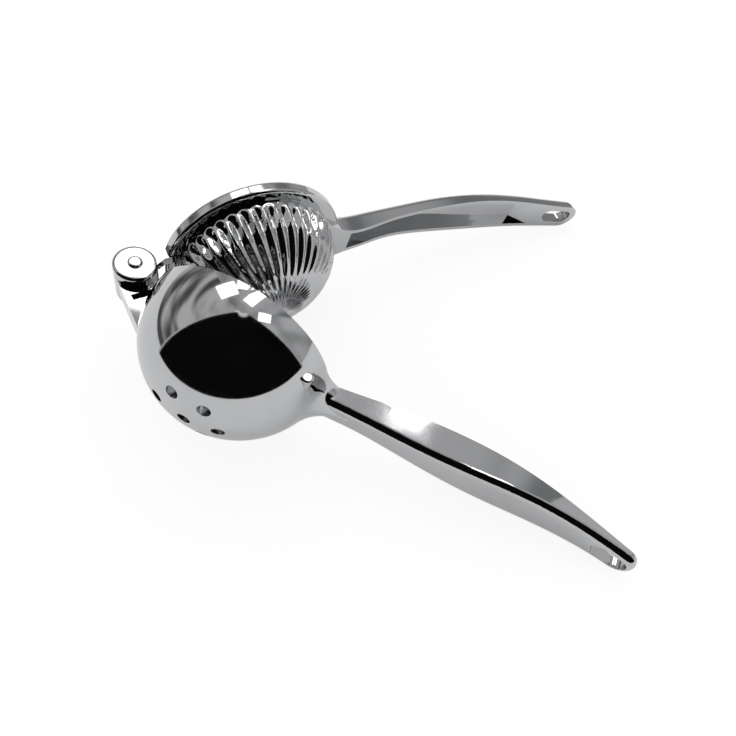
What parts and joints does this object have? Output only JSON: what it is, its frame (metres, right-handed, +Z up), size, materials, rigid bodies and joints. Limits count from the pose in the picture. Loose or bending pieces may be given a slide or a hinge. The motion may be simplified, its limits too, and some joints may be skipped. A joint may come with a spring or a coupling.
{
  "type": "lemon squeezer",
  "caption": "Hinged hand press for lemons: a ribbed dome on one arm presses the fruit half into a drained bowl on the other.",
  "frame": {"origin": "under the middle of the open squeezer's bounding box, on the table it lies on", "axes": "+X along the bowl arm from the hinge towards its handle, seen from above; +Y to the side the bowl opens to and the press arm swings out; +Z up from the table"},
  "size_m": [0.2135, 0.1934, 0.07],
  "materials": {
    "bowl_chrome": "polished",
    "press_chrome": "polished",
    "pin_steel": "satin"
  },
  "bodies": {
    "bowl_arm": {"bowl_arm": "bowl_chrome"},
    "press_arm": {"press_arm": "press_chrome", "hinge_pin": "pin_steel"}
  },
  "joints": [
    {"name": "hinge", "type": "hinge", "parent": "bowl_arm", "child": "press_arm", "pos_m": [-0.09802, -0.06089, 0.04278], "axis": [0.1767, 0.0831, 0.9807], "range_deg": [-47, 58]}
  ]
}
